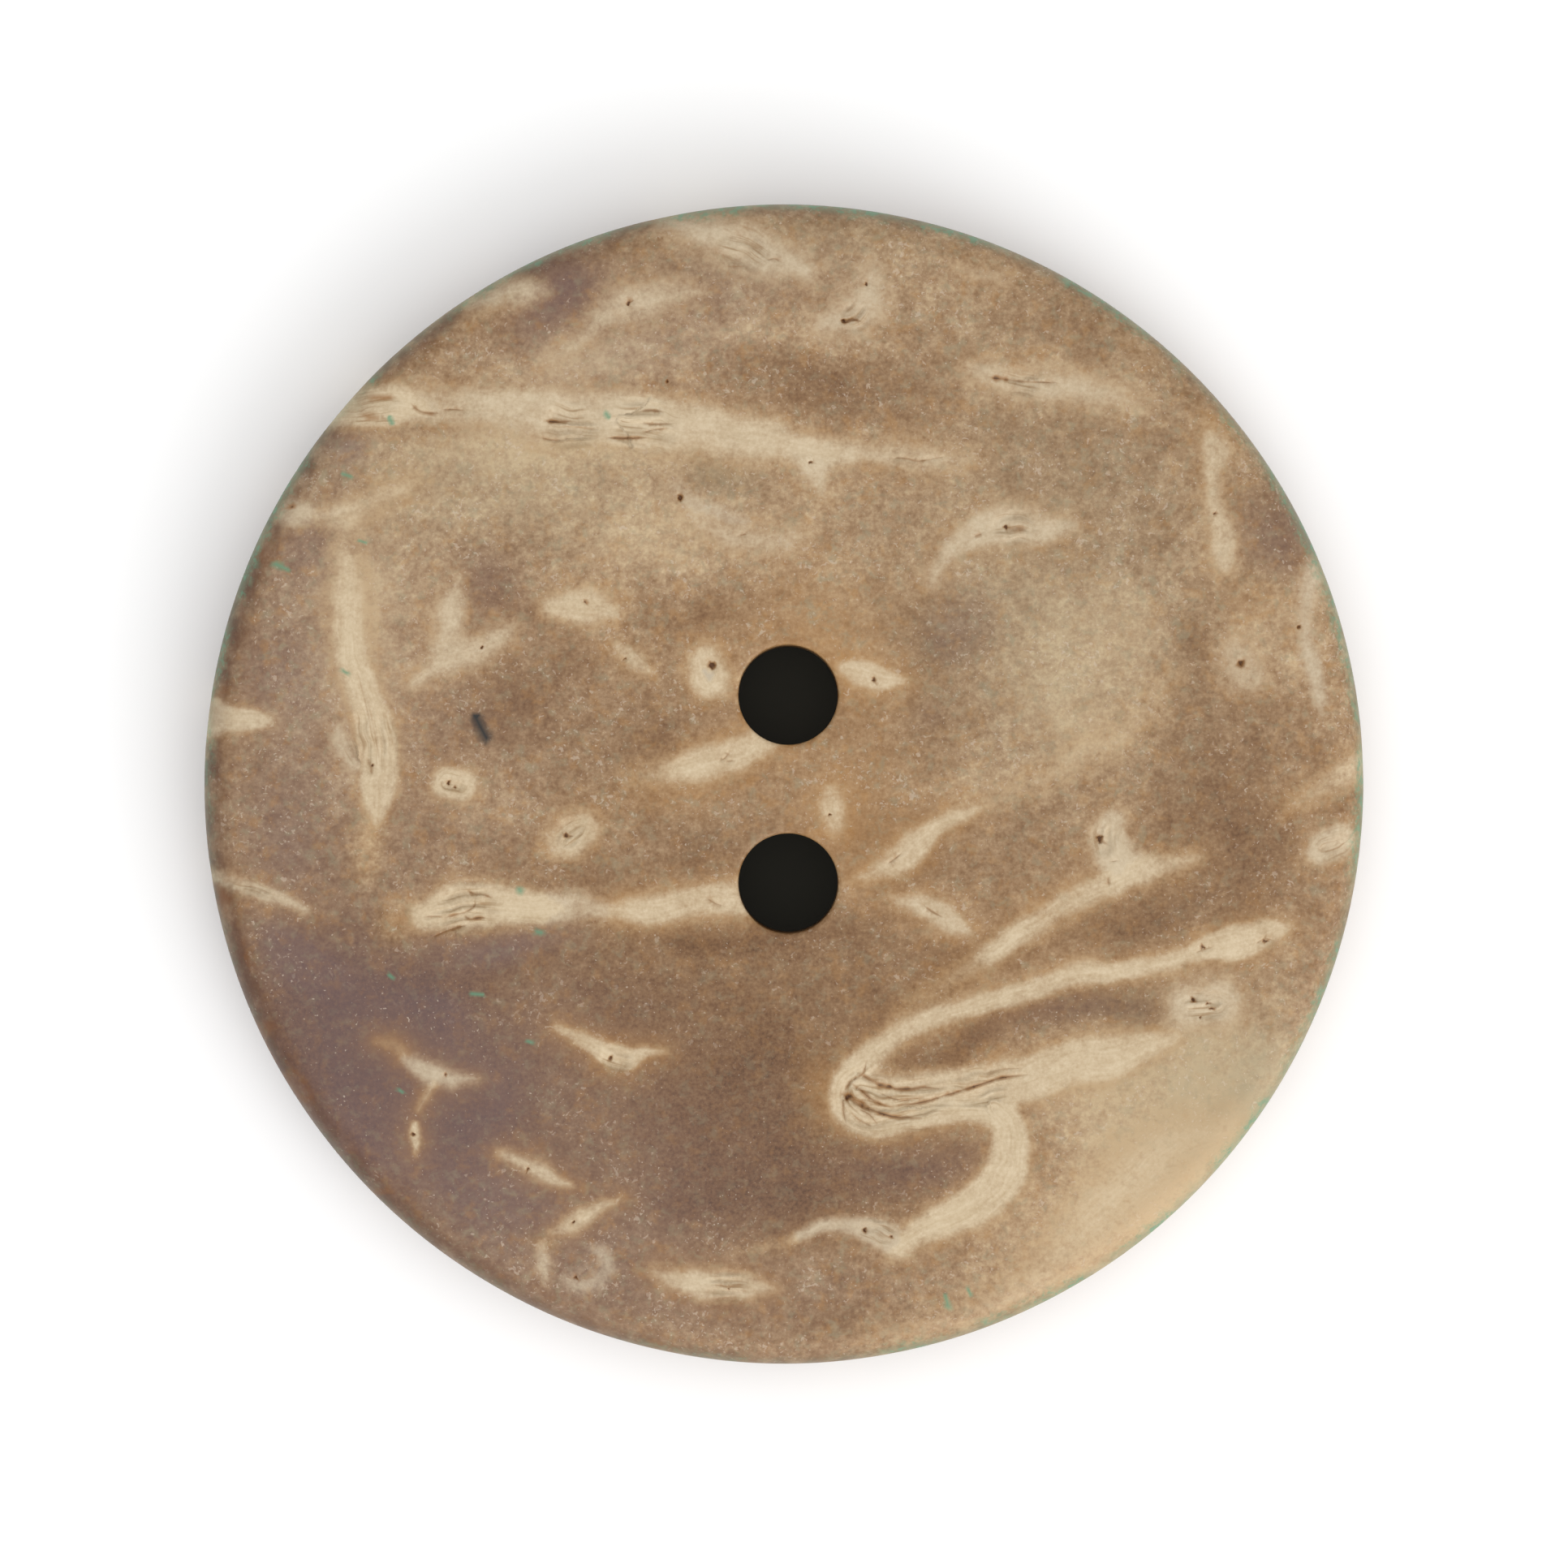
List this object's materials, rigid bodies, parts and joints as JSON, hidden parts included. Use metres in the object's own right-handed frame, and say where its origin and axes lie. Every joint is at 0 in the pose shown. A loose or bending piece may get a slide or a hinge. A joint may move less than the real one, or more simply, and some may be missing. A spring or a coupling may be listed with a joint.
{
  "type": "sew on button",
  "caption": "Round flat sew-on button of polished coconut shell with thread holes through its face, for closing a garment through a buttonhole.",
  "frame": {"origin": "centre of the disc on the flat back, the side that lies on the cloth", "axes": "+Z out of the polished front, +Y along the line of the thread holes"},
  "size_m": [0.025, 0.025, 0.003],
  "materials": {
    "shell": "polished natural coconut shell, brown to tan with cream veins and small open pores, satin"
  },
  "bodies": {
    "root": {"button_disc": "shell"}
  },
  "joints": []
}
